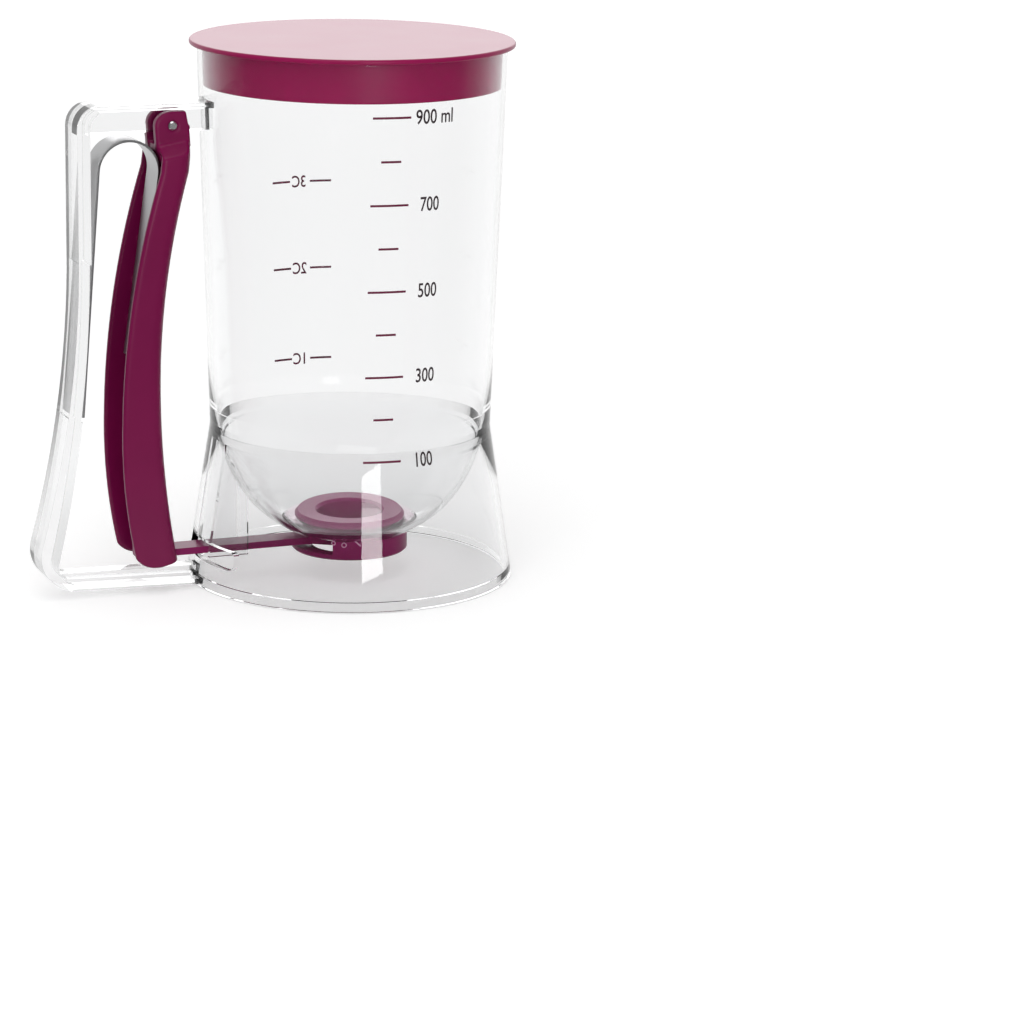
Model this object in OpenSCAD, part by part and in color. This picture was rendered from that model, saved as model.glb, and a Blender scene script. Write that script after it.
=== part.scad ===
// Batter dispenser: a clear tapered jug with a round bottom, standing on a bonded
// clear cone, with a clear D handle, a sprung trigger lever and a slide valve.
// Millimetres, Z up.  The origin is the middle of the base rim, the handle is on -X.

/* [Overall] */
// Height from the surface it stands on to the top of the lid
overall_h = 180; // [172:1:195]

/* [Container] */
// Outer radius at the rim
rim_r = 51.0; // [50:0.1:52.5]
// Outer radius at the shoulder, where the cone starts
shoulder_r = 47.0; // [46.8:0.1:48]
// Height of the shoulder
shoulder_z = 51.2; // [49:0.1:52.5]
// Wall of the container
jug_wall = 1.5; // [1.2:0.1:1.8]
// Outer radius of the round bottom
bowl_r = 46.0; // [45.6:0.1:46.2]
// Height of the round bottom's lowest point, before it is cut flat
bowl_low = 10.4; // [10:0.1:12]
// Height where the wall starts to thicken towards the round bottom
thick_z = 72; // [66:1:80]
// Height of the flat floor round the outlet, inside
floor_z = 18.2; // [17.8:0.1:18.6]
// Thickness of the flat floor
floor_t = 3.4; // [3:0.1:3.6]

/* [Base cone] */
// Outer radius of the base rim
base_r = 55.0; // [53:0.5:58]
// Wall of the cone
cone_t = 2.2; // [1.8:0.1:2.5]
// Width of the window for the valve strap
window_w = 44; // [36:1:48]
// Height of the sill of the window
window_z0 = 8.8; // [8.8:0.1:9.3]
// Height of the top of the window
window_z1 = 15.0; // [14.8:0.1:17]
// Corner radius of the window
window_r = 2.2; // [1:0.1:2.8]
// Thickness of the two guide ribs
rib_t = 1.6; // [1.2:0.1:2]
// Height of the lower edge of the ribs
rib_z = 10.2; // [9.5:0.1:10.6]
// Height of the locating recess inside the rim
recess_h = 3.0; // [2:0.5:4]
// Depth of the locating recess, on the radius
recess_d = 0.4; // [0.3:0.1:0.8]

/* [Lid] */
// How far the lid's disc stands out past the rim
lid_over = 2.5; // [2:0.1:4]
// Thickness of the disc
lid_t = 1.6; // [1.4:0.1:2.2]
// Depth of the plug below the disc
plug_h = 13.0; // [8:0.5:16]
// Wall of the plug
plug_wall = 1.4; // [1.2:0.1:2]
// Gap between the plug and the container
lid_fit = 0.15; // [0.1:0.01:0.3]

/* [Handle] */
// Width of the handle
handle_w = 14.6; // [12:0.1:15]
// Thickness of the arms' flat plates
plate_t = 1.9; // [1.6:0.1:2.2]
// Drop of the upper arm's top below the container's rim
arm_drop = 16.4; // [15:0.1:18]
// Height of the underside of the lower arm
arm_low = 1.5; // [1:0.1:1.6]
// Thickness of the web between the lever's ears
web_t = 6.0; // [5:0.1:6.4]
// Depth of the upper web
web_h = 7.6; // [7:0.1:8]
// How much higher the lower arm is at the grip than at the base
arm_rise = 1.3; // [0.8:0.1:1.6]
// Height of the lower web
rail_h = 3.7; // [3.2:0.1:4.2]
// Reach of the grip's outer face from the axis, at the straight upper part
grip_x = 95.4; // [95:0.1:97]
// Thickness of the grip at its upper part
grip_t = 4.2; // [3.8:0.1:4.6]
// Outer radius of the upper bend
bend_top = 7.5; // [7:0.1:9]
// Outer radius of the lower bend
bend_low = 12.0; // [11:0.1:13]
// Radius of the fillet inside the lower bend
bend_in = 6.5; // [6:0.1:7]
// Radius of the grip's flare, outer face
flare_out = 360; // [352:1:372]
// Radius of the grip's flare, inner face
flare_in = 445; // [440:1:460]
// Height where the flare starts
flare_z = 115; // [113:1:117]
// Depth of the spring seat in the grip
seat_d = 0.6; // [0.4:0.1:0.8]
// Height of the ledge under the spring's end
ledge_z = 59.5; // [57:0.5:61]

/* [Trigger lever] */
// Distance of the pivot from the axis
pivot_x = 63.6; // [63.2:0.1:64]
// Drop of the pivot below the top of the upper arm
pivot_drop = 7.2; // [7:0.1:7.4]
// Diameter of the pivot pin
pin_d = 3.0; // [2.6:0.1:3.4]
// Width of the lever
lever_w = 24.4; // [23.4:0.1:25]
// Wall of the lever's sides
flange_t = 2.4; // [2:0.1:2.8]
// Wall of the lever's front
front_t = 2.6; // [2.2:0.1:3]
// Setback of the lever's front behind the pivot, at its waist
front_back = 5.3; // [5.1:0.1:5.7]
// Setback of the lever's rear edges behind the pivot, at their waist
rear_back = 18.9; // [18.2:0.1:19.1]
// Height of the front's waist above the lever's lower end
front_waist = 59.5; // [56:0.5:62]
// Height of the rear's waist above the lever's lower end
rear_waist = 42.5; // [40:0.5:46]
// Drop of the brow, where both lines bend upright, below the pivot
brow_drop = 14.2; // [13.6:0.1:14.8]
// Radius of the brow
brow_r = 9; // [7:0.5:12]
// How far the front comes forward from its waist to the brow
front_top = 10.0; // [9.6:0.1:10.3]
// How far the front comes forward from its waist to the lower end
front_foot = 5.7; // [5.3:0.1:6]
// How far the rear comes forward from its waist to the brow
rear_top = 13.6; // [13:0.1:14]
// How far the rear comes forward from its waist to the lower end
rear_foot = 5.0; // [4.6:0.1:5.6]
// Radius of the lever's front edges
edge_r = 3.5; // [3:0.1:4]
// Radius of the lever's rear edges
lip_r = 0.9; // [0.6:0.1:1.1]
// Width over the ears
ear_w = 14; // [13:0.1:15]
// Radius of the ears round the pivot
ear_r = 5.9; // [5.4:0.1:6]
// Height of the ears' flat top above the pivot
ear_top = 4.7; // [4.4:0.1:4.9]
// Length of the ears below the pivot
ear_l = 15.0; // [14:0.5:17]
// Drop of the body's top, between the ears, below the pivot
body_drop = 5.6; // [5.4:0.1:6]
// Length of the shoulders between the ears and the full width
shoulder_l = 3.4; // [3:0.1:4.4]
// Slope of the shoulders down to the rear, in degrees
shoulder_a = 10; // [6:1:14]
// Radius of the lever's round lower end
foot_r = 8.3; // [7.8:0.1:8.8]
// Height of the lever's lower end
lever_low = 9.5; // [9.2:0.1:9.8]
// Diameter of the peg that drives the valve strap
peg_d = 3.0; // [2.6:0.1:3.2]
// Spacing of the cross ribs that the spring lies on
cross_step = 13.0; // [11:0.5:14]
// Thickness of the cross ribs
cross_t = 1.8; // [1.5:0.1:2.2]

/* [Return spring] */
// Width of the spring strip
strip_w = 12.5; // [10:0.1:13]
// Thickness of the spring strip
strip_t = 0.8; // [0.6:0.1:1]
// Radius of the spring's loop, to the middle of the strip
loop_r = 10.1; // [9.8:0.1:10.3]
// Drop of the loop's centre below the pivot
loop_drop = 14.5; // [14.2:0.1:15]
// Length of the leg that lies on the lever
leg_l = 61.0; // [58:0.5:62]

/* [Valve] */
// Radius of the outlet
outlet_r = 10.9; // [9.5:0.1:11]
// Radius of the valve seat's flange
flange_r = 18.6; // [18:0.1:20]
// Height of the valve seat's flange
flange_h = 2.7; // [2.2:0.1:3.2]
// Thickness of the seal under the flange
seal_t = 0.8; // [0.6:0.1:1]
// Outer radius of the valve seat's neck
neck_r = 15.6; // [15.5:0.1:15.7]
// How far the round valve plate covers the outlet, all round
overlap = 1.3; // [1:0.1:1.4]
// Thickness of the valve plate and its strap
slide_t = 2.3; // [2:0.1:2.4]
// Width of the strap
strap_w = 8.8; // [7:0.1:9]
// Outer radius of the retaining ring
ring_r = 19.5; // [19:0.1:21]
// Height of the underside of the retaining ring
ring_z = 8.1; // [7.8:0.1:8.2]
// Half angle of the bayonet lugs
lug_a = 7; // [6:0.5:7.5]
// How far the bayonet lugs stand out of the neck
lug_h = 1.5; // [1.2:0.1:1.6]
// Twist of the retaining ring, in degrees
twist = 20; // [16:1:20]
// Wall of the eye at the end of the strap
eye_wall = 1.6; // [1.5:0.1:1.8]
// Length over which the strap widens to the round plate
taper = 3.0; // [2:0.5:3]

/* [Fits] */
// Running gap round the pin, on the radius
pin_gap = 0.05; // [0.02:0.01:0.08]
// Running gap between sliding or turning plastic pieces
run_gap = 0.3; // [0.25:0.01:0.35]
// Gap of a bonded seam
seam = 0.05; // [0.03:0.01:0.1]

/* [Hidden] */
$fn = 144;
clear_plastic = [0.90, 0.93, 0.94, 0.45];
magenta = [0.50, 0.08, 0.28];
deep_magenta = [0.44, 0.07, 0.26];
steel = [0.78, 0.78, 0.80];
silicone = [0.92, 0.90, 0.90, 0.8];

// Heights that follow from the rest
rim_z = overall_h - lid_t;
floor_low = floor_z - floor_t;
bowl_z = bowl_low + bowl_r;
bowl_in = bowl_r - jug_wall + 0.1;
plug_low = rim_z - plug_h;
arm_top = rim_z - arm_drop;
pivot_z = arm_top - pivot_drop;
loop_z = pivot_z - loop_drop;
// The arms and their webs run into the shell as far as this, and are cut to it
arm_in = shoulder_r - 7;
slide_top = floor_low - 1.3;
slide_low = slide_top - slide_t;
plate_r = outlet_r + overlap;
peg_z = slide_low + 1.7;
// The eye round the peg stands just behind the lever's front wall, up to 7 mm above the peg
peg_x = -lever_front(peg_z + 7) + front_t + 0.5 + peg_d / 2 + run_gap + eye_wall;

// Travel that opens the valve fully, the lever's swing for it and how far the peg rises
travel = outlet_r + plate_r + run_gap;
swing = asin(travel / (pivot_z - peg_z));
rise = (pivot_z - peg_z) * (1 - cos(swing)) + (peg_x - pivot_x) * sin(swing);
// The guide ribs end where the strap's wide part stops when the valve is open
rib_end = travel + plate_r + taper - 0.6;

// Lean of the spring's two legs, and the centre of its loop: the first leg lies on the grip
lean_in = 4.2;
lean_out = 7.9;
loop_x = -(grip_x - grip_t + seat_d) - flare_in * (1 - cos(lean_in))
    + (loop_r + strip_t / 2 + seam) / cos(lean_in)
    + (loop_z - flare_z + flare_in * sin(lean_in)) * tan(lean_in);

// Radius of the container's outside at a height
function jug_r(z) = shoulder_r + (rim_r - shoulder_r) * (z - shoulder_z) / (rim_z - shoulder_z);
// Sag of a circle of radius r at a height h from its middle
function sag(r, h) = r - sqrt(r * r - h * h);
// The face of the spring's second leg that looks at the lever
function spring_face(z) = loop_x + (loop_r + strip_t / 2) / cos(lean_out) - (loop_z - z) * tan(lean_out);

// ---------------------------------------------------------------- container
module jug_inside_2d() {
    polygon([[0, bowl_z], [0, rim_z + 1], [jug_r(rim_z + 1) - jug_wall, rim_z + 1],
        [jug_r(thick_z) - jug_wall, thick_z], [bowl_in, bowl_z]]);
    translate([0, bowl_z]) circle(r = bowl_in, $fn = 240);
}

module jug_outside_2d() {
    polygon([[0, shoulder_z], [shoulder_r, shoulder_z], [rim_r, rim_z], [0, rim_z]]);
    translate([0, bowl_z]) circle(r = bowl_r, $fn = 240);
}

module container() {
    bore = neck_r + seam * 2;
    color(clear_plastic)
    rotate_extrude($fn = 240)
    difference() {
        jug_outside_2d();
        difference() {
            jug_inside_2d();
            translate([0, floor_z - 40]) square([60, 40]);
        }
        translate([-60, 0]) square([60, rim_z + 1]);
        translate([0, -1]) square([60, floor_low + 1]);
        translate([0, -1]) square([bore, floor_z + 2]);
    }
}

// ---------------------------------------------------------------- base cone
// A rectangle with true round corners, centred on its width
module round_slot_2d(w, z0, z1, r) {
    translate([-w / 2 + r, z0]) square([w - 2 * r, z1 - z0]);
    translate([-w / 2, z0 + r]) square([w, z1 - z0 - 2 * r]);
    for (sx = [-1, 1], z = [z0 + r, z1 - r])
        translate([sx * (w / 2 - r), z]) circle(r = r, $fn = 32);
}

module cone_shell(grow) {
    rotate_extrude($fn = 240)
    polygon([[base_r - cone_t, 0], [base_r + grow, 0], [shoulder_r + grow, shoulder_z],
        [shoulder_r - cone_t, shoulder_z]]);
}

module guide_rib(side) {
    y = side * (strap_w / 2 + 0.8 + rib_t / 2);
    intersection() {
        translate([-base_r, y - rib_t / 2, rib_z]) cube([base_r - rib_end, rib_t, 40]);
        cylinder(h = shoulder_z, r1 = base_r - cone_t / 2, r2 = shoulder_r - cone_t / 2, $fn = 240);
    }
}

module base_cone() {
    color(clear_plastic)
    difference() {
        union() {
            difference() {
                cone_shell(0);
                rotate([90, 0, -90]) linear_extrude(height = base_r + 5)
                    round_slot_2d(window_w, window_z0, window_z1, window_r);
            }
            guide_rib(-1);
            guide_rib(1);
        }
        translate([0, 0, bowl_z]) sphere(r = bowl_r + seam, $fn = 240);
        translate([0, 0, -0.01]) cylinder(h = recess_h + 0.01, r = base_r - cone_t + recess_d, $fn = 240);
    }
}

// ------------------------------------------------------------- handle frame
// One side of the grip and the lower arm, seen from the side: all that lies to the right of the
// flare and above the arm's slope, with a bend that is tangent to both
module arm_side_2d(x0, flare, up, r, past) {
    low = arm_low + arm_rise + up;
    cx = x0 - flare + sqrt(pow(flare + r, 2) - pow(flare_z - low - r, 2));
    k = flare / (flare + r);
    tz = flare_z - (flare_z - low - r) * k;
    difference() {
        polygon([[x0 - 40, low], [cx, low], [-base_r, low - arm_rise], [-arm_in + past, low - arm_rise],
            [-arm_in + past, flare_z + past], [x0 - 40, flare_z + past]]);
        translate([x0 - flare, flare_z]) circle(r = flare, $fn = 1440);
        difference() {
            polygon([[x0 - 50, low - 1], [cx, low - 1], [cx, low + r],
                [x0 - flare + (cx - x0 + flare) * k, tz], [x0 - 50, tz]]);
            translate([cx, low + r]) circle(r = r, $fn = 144);
        }
    }
}

module handle_2d() {
    r = bend_top - plate_t;
    translate([-grip_x, flare_z - 0.01]) square([grip_t, arm_top - bend_top - flare_z + 0.02]);
    // upper arm and its outer bend
    translate([-grip_x + bend_top, arm_top - plate_t]) square([grip_x - bend_top - arm_in, plate_t]);
    difference() {
        translate([-grip_x + bend_top, arm_top - bend_top]) circle(r = bend_top, $fn = 96);
        translate([-grip_x + bend_top, arm_top - 20]) square([20, 40]);
        translate([-grip_x - 5, arm_top - bend_top - 20]) square([20, 20]);
        translate([-grip_x + grip_t + r, arm_top - plate_t - r]) circle(r = r, $fn = 96);
    }
    // flared grip and lower arm
    difference() {
        arm_side_2d(-grip_x, flare_out, 0, bend_low, 0);
        arm_side_2d(-grip_x + grip_t, flare_in, plate_t, bend_in, 1);
    }
}

// Lower web, which rises a little less than its arm
module rail_2d() {
    top = arm_low + plate_t + rail_h;
    intersection() {
        arm_side_2d(-grip_x + 1, flare_out, 0.5, bend_low, 0);
        polygon([[-arm_in, 0], [-arm_in, top], [-base_r, top], [-grip_x - 20, top + arm_rise * 0.8],
            [-grip_x - 20, 0]]);
    }
}

module handle_frame() {
    seat_face = grip_x - grip_t;
    color(clear_plastic)
    difference() {
        union() {
            rotate([90, 0, 0]) linear_extrude(height = handle_w, center = true) handle_2d();
            // webs of the two arms
            translate([-grip_x + grip_t - 1, -web_t / 2, arm_top - plate_t - web_h])
                cube([grip_x - grip_t + 1 - arm_in, web_t, web_h + 0.5]);
            rotate([90, 0, 0]) linear_extrude(height = web_t, center = true) rail_2d();
        }
        // ends that fit the container and the cone
        translate([0, 0, shoulder_z]) cylinder(h = rim_z - shoulder_z, r1 = shoulder_r + seam,
            r2 = rim_r + seam, $fn = 240);
        cylinder(h = shoulder_z, r1 = base_r + seam, r2 = shoulder_r + seam, $fn = 240);
        // shallow seat of the spring, closed below by a ledge
        rotate([90, 0, 0]) linear_extrude(height = handle_w + 2, center = true)
        difference() {
            translate([-seat_face - 10, ledge_z]) square([20, flare_z - ledge_z - 4]);
            translate([-seat_face - flare_in - seat_d, flare_z]) circle(r = flare_in, $fn = 1440);
        }
        translate([-pivot_x, 0, pivot_z]) rotate([90, 0, 0])
            cylinder(h = web_t + 2, r = pin_d / 2 + pin_gap, center = true, $fn = 48);
    }
}

// ---------------------------------------------------------------------- lid
module lid() {
    lid_r = rim_r + lid_over;
    r0 = jug_r(rim_z) - jug_wall - lid_fit;
    r1 = jug_r(plug_low) - jug_wall - lid_fit;
    color(magenta)
    rotate_extrude($fn = 240)
    polygon(concat([[0, rim_z]],
        // tapered plug under the disc
        [[r0 - plug_wall, rim_z], [r1 - plug_wall, plug_low], [r1 - 0.6, plug_low],
         [r1, plug_low + 0.6], [r0, rim_z]],
        // rounded edge of the disc
        [for (a = [-90 : 15 : 90])
            [lid_r - lid_t / 2 + lid_t / 2 * cos(a), rim_z + lid_t / 2 + lid_t / 2 * sin(a)]],
        [[0, overall_h]]));
}

// ------------------------------------------------------------ trigger lever
// Front and rear lines of the lever, seen from the side: two arcs that meet at the waist, and a
// bend at the brow that turns the upper one upright
function arc_r(h, s) = (h * h + s * s) / (2 * s);
function upright(top, a, h) = top + brow_r * (1 - cos(a)) - sag(brow_r, max(0, brow_r * sin(a) - h));
function side_line(x, z0, top, foot, z) =
    let (zb = pivot_z - brow_drop, r = arc_r(zb - z0, top))
    -x + (z < z0 ? sag(arc_r(z0 - lever_low, foot), z - z0)
        : z < zb ? sag(r, z - z0) : upright(top, asin((zb - z0) / r), z - zb));
function lever_front(z) = side_line(pivot_x + front_back, lever_low + front_waist, front_top, front_foot, z);
function lever_rear(z) = side_line(pivot_x + rear_back, lever_low + rear_waist, rear_top, rear_foot, z);

// One level of the lever: a rectangle with round corners, anticlockwise from the front
function level(x0, x1, hw, rf, rr, z) = [
    for (c = [[x1, hw, rf, 0], [x0, hw, rr, 90], [x0, -hw, rr, 180], [x1, -hw, rf, 270]])
    for (a = [0 : 22.5 : 90])
    [c[0] + (c[3] == 0 || c[3] == 270 ? -1 : 1) * c[2] + c[2] * cos(c[3] + a),
     c[1] + (c[3] < 180 ? -1 : 1) * c[2] + c[2] * sin(c[3] + a), z]];

// A solid through levels that have the same number of points
module loft(levels) {
    n = len(levels[0]);
    m = len(levels);
    polyhedron(points = [for (l = levels) each l],
        faces = concat([[for (i = [0 : n - 1]) i]],
            [for (k = [0 : m - 2]) for (i = [0 : n - 1])
                [k * n + i, (k + 1) * n + i, (k + 1) * n + (i + 1) % n, k * n + (i + 1) % n]],
            [[for (i = [n - 1 : -1 : 0]) (m - 1) * n + i]]));
}

module ear_2d() {
    translate([-pivot_x, pivot_z]) {
        circle(r = ear_top, $fn = 64);
        intersection() {
            circle(r = ear_r, $fn = 64);
            translate([-2 * ear_r, -2 * ear_r]) square([4 * ear_r, 2 * ear_r]);
        }
        intersection() {
            scale([ear_r / ear_top, 1]) circle(r = ear_top, $fn = 64);
            translate([-2 * ear_r, -1]) square([2 * ear_r, 2 * ear_r]);
        }
        polygon([[-ear_r, 0], [-ear_r * 0.9, -ear_l / 2], [-ear_r * 0.42, -ear_l], [ear_r / 2, -ear_l],
            [ear_r * 1.02, -ear_l * 0.43], [ear_r * 0.95, -ear_l * 0.1], [ear_r * 0.75, ear_top],
            [0, ear_top]]);
    }
}

module trigger_lever() {
    z0 = lever_low - 2;
    z1 = pivot_z - body_drop + 0.4;
    steps = 30;
    dz = (z1 - z0) / steps;
    ear_in = web_t / 2 + run_gap;
    full_z = pivot_z - body_drop - shoulder_l;
    color(magenta)
    difference() {
        union() {
            difference() {
                intersection() {
                    loft([for (k = [0 : steps]) let (z = z0 + k * dz)
                        level(lever_rear(z), lever_front(z), lever_w / 2, edge_r, lip_r, z)]);
                    // shoulders that lead from the ears to the full width
                    translate([-pivot_x, 0, full_z]) rotate([0, -shoulder_a, 0])
                    translate([0, 0, -full_z]) rotate([90, 0, 90])
                    linear_extrude(height = 160, center = true)
                        polygon([[-lever_w, z0 - 5], [lever_w, z0 - 5], [lever_w, full_z],
                            [lever_w / 2, full_z], [ear_w / 2, full_z + shoulder_l],
                            [-ear_w / 2, full_z + shoulder_l], [-lever_w / 2, full_z],
                            [-lever_w, full_z]]);
                    // round lower end, cut off at a slant in front
                    rotate([90, 0, 0]) linear_extrude(height = 60, center = true)
                        translate([-peg_x, lever_low]) {
                            translate([-40, foot_r]) square([60, pivot_z]);
                            translate([0, foot_r]) circle(r = foot_r, $fn = 96);
                            polygon([[0, 0], [foot_r * 0.2, 0], [foot_r * 1.2, foot_r * 0.24],
                                [foot_r * 1.2, foot_r * 1.2], [0, foot_r * 1.2]]);
                        }
                }
                // channel, open to the grip and at the foot
                loft([for (k = [0 : steps]) let (z = z0 - 1 + k * (z1 - z0 - front_t) / steps)
                    level(lever_rear(z) - 4, lever_front(z) - front_t, lever_w / 2 - flange_t,
                        1.5, 0.3, z)]);
            }
            // ears, one on each side of the handle's web
            for (s = [-1, 1]) translate([0, s * (ear_w / 2 + ear_in) / 2, 0])
                rotate([90, 0, 0]) linear_extrude(height = ear_w / 2 - ear_in, center = true) ear_2d();
            // cross ribs that the spring lies on
            for (k = [1 : 4]) let (z = loop_z - k * cross_step, x = spring_face(z + cross_t) + run_gap)
                translate([x, (flange_t - lever_w) / 2, z])
                    cube([lever_front(z) - front_t / 2 - x, lever_w - flange_t, cross_t]);
            // peg that drives the valve strap
            translate([-peg_x, 0, peg_z]) rotate([90, 0, 0])
                cylinder(h = lever_w - flange_t, r = peg_d / 2, center = true, $fn = 48);
        }
        translate([-pivot_x, 0, pivot_z]) rotate([90, 0, 0])
            cylinder(h = ear_w + 2, r = pin_d / 2 + 0.02, center = true, $fn = 48);
        // room for the handle's web
        translate([-pivot_x - 20, -ear_in, pivot_z - ear_top]) cube([40, 2 * ear_in, 12]);
        // notch for the strap in the front wall
        translate([lever_front(slide_top + run_gap) - front_t - 1, -strap_w / 2 - 0.5, lever_low - 1])
            cube([front_t + foot_r, strap_w + 1, slide_top + run_gap + 1 - lever_low]);
    }
}

// ---------------------------------------------------------------- pivot pin
module pivot_pin() {
    l = ear_w + 0.5;
    color(steel)
    translate([-pivot_x, 0, pivot_z]) rotate([90, 0, 0]) {
        cylinder(h = l - 0.8, r = pin_d / 2, center = true, $fn = 48);
        for (s = [0, 180]) rotate([s, 0, 0]) translate([0, 0, l / 2 - 0.4])
            cylinder(h = 0.4, r1 = pin_d / 2, r2 = pin_d / 2 - 0.4, $fn = 48);
    }
}

// ------------------------------------------------------------ return spring
// A strip bent over a loop, with two straight legs that lean towards the grip
module return_spring() {
    len_in = (loop_z - ledge_z - run_gap) / cos(lean_in);
    color(steel)
    rotate([90, 0, 0]) linear_extrude(height = strip_w, center = true)
    translate([loop_x, loop_z]) {
        difference() {
            circle(r = loop_r + strip_t / 2, $fn = 96);
            circle(r = loop_r - strip_t / 2, $fn = 96);
            polygon([[0, 0], [-40 * cos(lean_in), 40 * sin(lean_in)], [-40, -60], [40, -60],
                [40 * cos(lean_out), -40 * sin(lean_out)]]);
        }
        rotate(-lean_in) translate([-loop_r - strip_t / 2, -len_in]) square([strip_t, len_in + 0.1]);
        rotate(-lean_out) translate([loop_r - strip_t / 2, -leg_l]) square([strip_t, leg_l + 0.1]);
    }
}

// -------------------------------------------------------------- slide valve
module slide_valve() {
    slot_w = peg_d + 2 * run_gap;
    slot_z0 = peg_z - slot_w / 2;
    slot_z1 = peg_z + rise + slot_w / 2;
    color(deep_magenta)
    difference() {
        union() {
            translate([0, 0, slide_low]) linear_extrude(height = slide_t) {
                circle(r = plate_r, $fn = 144);
                translate([-peg_x, -strap_w / 2]) square([peg_x, strap_w]);
                // the strap widens where it meets the round plate
                polygon([[-plate_r - taper, -strap_w / 2], [-plate_r * 0.7, -plate_r * 0.71],
                    [-plate_r * 0.7, plate_r * 0.71], [-plate_r - taper, strap_w / 2]]);
            }
            // eye that the lever's peg passes through
            translate([-peg_x, 0, 0]) rotate([90, 0, 0])
                linear_extrude(height = strap_w, center = true)
                round_slot_2d(slot_w + 2 * eye_wall, slot_z0 - eye_wall, slot_z1 + eye_wall, 1.6);
        }
        translate([-peg_x, 0, 0]) rotate([90, 0, 0]) linear_extrude(height = strap_w + 2, center = true)
            round_slot_2d(slot_w, slot_z0, slot_z1, peg_d / 2);
    }
}

// --------------------------------------------------------------- valve seat
module sector(r, a0, a1, h) {
    linear_extrude(height = h)
    polygon(concat([[0, 0]], [for (k = [0 : 8]) let (a = a0 + (a1 - a0) * k / 8) [r * cos(a), r * sin(a)]]));
}

module ring_sector(r0, r1, a0, a1, z0, z1) {
    translate([0, 0, z0])
    intersection() {
        difference() {
            cylinder(h = z1 - z0, r = r1);
            translate([0, 0, -1]) cylinder(h = z1 - z0 + 2, r = r0);
        }
        translate([0, 0, -0.5]) sector(r1 * 1.3, a0, a1, z1 - z0 + 1);
    }
}

module valve_seat() {
    neck_low = ring_z + 1.5;
    pocket_r = plate_r + run_gap;
    color(magenta)
    difference() {
        union() {
            rotate_extrude()
            polygon([[outlet_r, neck_low], [neck_r, neck_low], [neck_r, floor_z + seal_t],
                [flange_r, floor_z + seal_t], [flange_r, floor_z + flange_h - 1],
                [flange_r - 1, floor_z + flange_h], [outlet_r + 0.8, floor_z + flange_h],
                [outlet_r, floor_z + flange_h - 0.8]]);
            // bayonet lugs
            for (a = [0, 90, 270])
                ring_sector(neck_r - 0.5, neck_r + lug_h, a - lug_a, a + lug_a,
                    slide_low + 0.4, slide_top - 0.1);
        }
        // pocket and side slot of the round valve plate
        translate([0, 0, slide_low - run_gap]) cylinder(h = slide_t + 2 * run_gap, r = pocket_r);
        translate([-30, -pocket_r, slide_low - run_gap]) cube([30, 2 * pocket_r, slide_t + 2 * run_gap]);
        translate([-30, -pocket_r, neck_low - 1]) cube([24, 2 * pocket_r, slide_top - neck_low]);
    }
}

// Flat silicone washer between the flange and the container's floor
module seat_seal() {
    color(silicone)
    translate([0, 0, floor_z])
    difference() {
        cylinder(h = seal_t, r = flange_r - 0.4);
        translate([0, 0, -1]) cylinder(h = seal_t + 2, r = neck_r + 2 * seam);
    }
}

// ----------------------------------------------------------- retaining ring
module retaining_ring() {
    bore_r = neck_r + run_gap;
    groove_r = neck_r + lug_h + run_gap;
    // half angles of the lugs' entries and of the valve plate's window, with its side play
    entry_a = lug_a + 1.5;
    plate_a = asin((plate_r + run_gap) / bore_r) + 1.8;
    top = floor_low - 0.2;
    lip_z = slide_top - 0.1 + run_gap;
    color(deep_magenta)
    difference() {
        union() {
            rotate_extrude()
            polygon([[plate_r + 0.6, ring_z], [ring_r - 0.6, ring_z], [ring_r, ring_z + 0.6],
                [ring_r, top], [bore_r, top], [bore_r, lip_z], [groove_r, lip_z],
                [groove_r, slide_low - 0.1], [bore_r, slide_low - 0.1], [bore_r, ring_z + 1.2],
                [plate_r + 0.6, ring_z + 1.2]]);
        }
        // window for the valve plate, long enough for the twist
        translate([0, 0, ring_z + 1.9]) sector(ring_r * 1.4, 180 - plate_a - twist, 180 + plate_a, 20);
        // entries for the bayonet lugs
        for (a = [0, 90, 270])
            ring_sector(bore_r - 1, groove_r, a - twist - entry_a, a - twist + entry_a,
                lip_z - 0.5, top + 1);
    }
}

container();
base_cone();
handle_frame();
lid();
trigger_lever();
pivot_pin();
return_spring();
slide_valve();
valve_seat();
seat_seal();
retaining_ring();
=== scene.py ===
import math

import bpy
from mathutils import Matrix, Vector


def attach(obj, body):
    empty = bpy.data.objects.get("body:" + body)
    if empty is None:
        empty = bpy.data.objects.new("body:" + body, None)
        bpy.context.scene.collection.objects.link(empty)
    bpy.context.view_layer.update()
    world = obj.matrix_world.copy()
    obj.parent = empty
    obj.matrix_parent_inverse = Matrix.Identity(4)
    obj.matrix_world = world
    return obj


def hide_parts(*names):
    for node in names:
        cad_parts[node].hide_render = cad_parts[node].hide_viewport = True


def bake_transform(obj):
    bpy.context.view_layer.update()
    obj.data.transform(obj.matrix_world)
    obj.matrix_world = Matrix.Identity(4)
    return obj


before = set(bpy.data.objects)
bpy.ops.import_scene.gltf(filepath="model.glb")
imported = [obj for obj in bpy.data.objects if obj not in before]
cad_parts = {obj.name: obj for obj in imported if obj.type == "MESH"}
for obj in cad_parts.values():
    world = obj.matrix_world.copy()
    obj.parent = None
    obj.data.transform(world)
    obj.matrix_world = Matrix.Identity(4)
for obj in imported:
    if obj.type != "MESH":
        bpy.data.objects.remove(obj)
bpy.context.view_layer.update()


# ------------------------------------------------------------------ container
# The batter jug: one clear styrene moulding, a tapered tube that runs into a
# thick-walled round bowl, cut flat for the valve seat.  It is bonded to its
# foot cone at the shoulder.
MM = 0.001
rim_r, rim_z, rim_round, wall = 51.0, 178.4, 0.5, 1.5
shoulder_r, shoulder_z, bond_low = 47.0, 51.2, 48.05
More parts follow.
